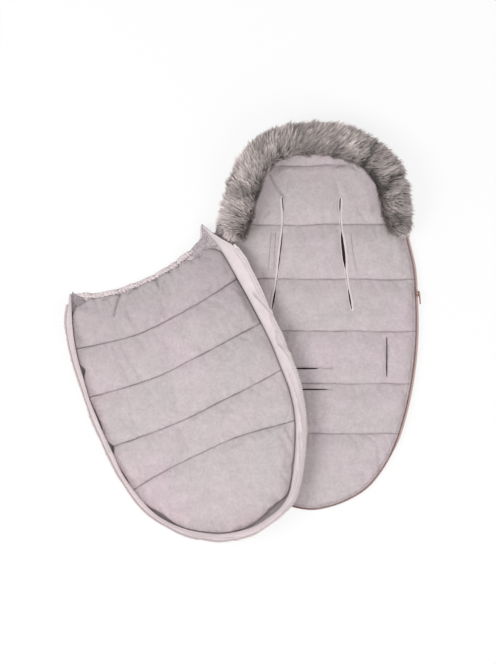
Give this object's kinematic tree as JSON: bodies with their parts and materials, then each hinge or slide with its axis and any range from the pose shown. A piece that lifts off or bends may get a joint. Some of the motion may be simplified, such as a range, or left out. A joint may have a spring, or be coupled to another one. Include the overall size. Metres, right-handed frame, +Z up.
{
  "type": "stroller footmuff",
  "caption": "Quilted stroller footmuff laid open: plush-lined back pad with slits, hood with faux fur ruff, and its unzipped cover lying inside up across one side.",
  "frame": {"origin": "on the flat underside of the back pad, on its centre line and midway along its length", "axes": "+Z up from the floor it lies on, +Y towards the hood, +X towards the side that the zip's slider is on"},
  "size_m": [0.8684, 1.0127, 0.1072],
  "materials": {
    "plush": "soft grey-lilac velour pile",
    "melange": "grey-mauve melange weave",
    "pink_cloth": "smooth pale pink weave",
    "wadding": "white polyester wadding",
    "fur": "long grey-brown faux fur with pale tips",
    "zip_tape": "dusty rose woven tape",
    "zip_coil": "rose nylon, satin",
    "rose_metal": "rose gold plating, satin",
    "elastic": "knitted elastic"
  },
  "bodies": {
    "back": {"back_shell": "melange", "back_wadding": "wadding", "back_lining": "plush", "harness_binding_left": "pink_cloth", "harness_binding_right": "pink_cloth", "crotch_binding_upper": "pink_cloth", "crotch_binding_lower": "pink_cloth", "belt_binding_left": "pink_cloth", "belt_binding_right": "pink_cloth", "fur_backing": "melange", "fur_trim": "fur", "back_zip_tape": "zip_tape", "back_zip_coil": "zip_coil", "back_zip_box": "zip_coil", "back_zip_stop": "zip_coil"},
    "cover": {"cover_shell": "melange", "cover_wadding": "wadding", "cover_lining": "plush", "cover_gusset": "pink_cloth", "cover_corner_left": "melange", "cover_corner_right": "melange", "cover_hem": "pink_cloth", "cover_elastic": "elastic", "cover_zip_tape": "zip_tape", "cover_zip_coil": "zip_coil", "cover_zip_pin": "zip_coil", "cover_zip_stop": "zip_coil"},
    "zip_slider": {"zip_slider": "rose_metal"},
    "zip_pull": {"zip_pull": "rose_metal"}
  },
  "joints": [
    {"name": "cover_lift", "type": "slide", "parent": "back", "child": "cover", "axis": [0, 0, 1], "range_m": [0, 0.3]},
    {"name": "zip_slider_travel", "type": "hinge", "parent": "back", "child": "zip_slider", "pos_m": [-0.639, 0.007, 0], "axis": [0, 0, 1], "range_deg": [-20, 8]},
    {"name": "zip_pull_swing", "type": "hinge", "parent": "zip_slider", "child": "zip_pull", "pos_m": [0.26365, 0.07635, 0.01398], "axis": [0.3081, 0.0237, 0.9511], "range_deg": [0, 165]}
  ]
}
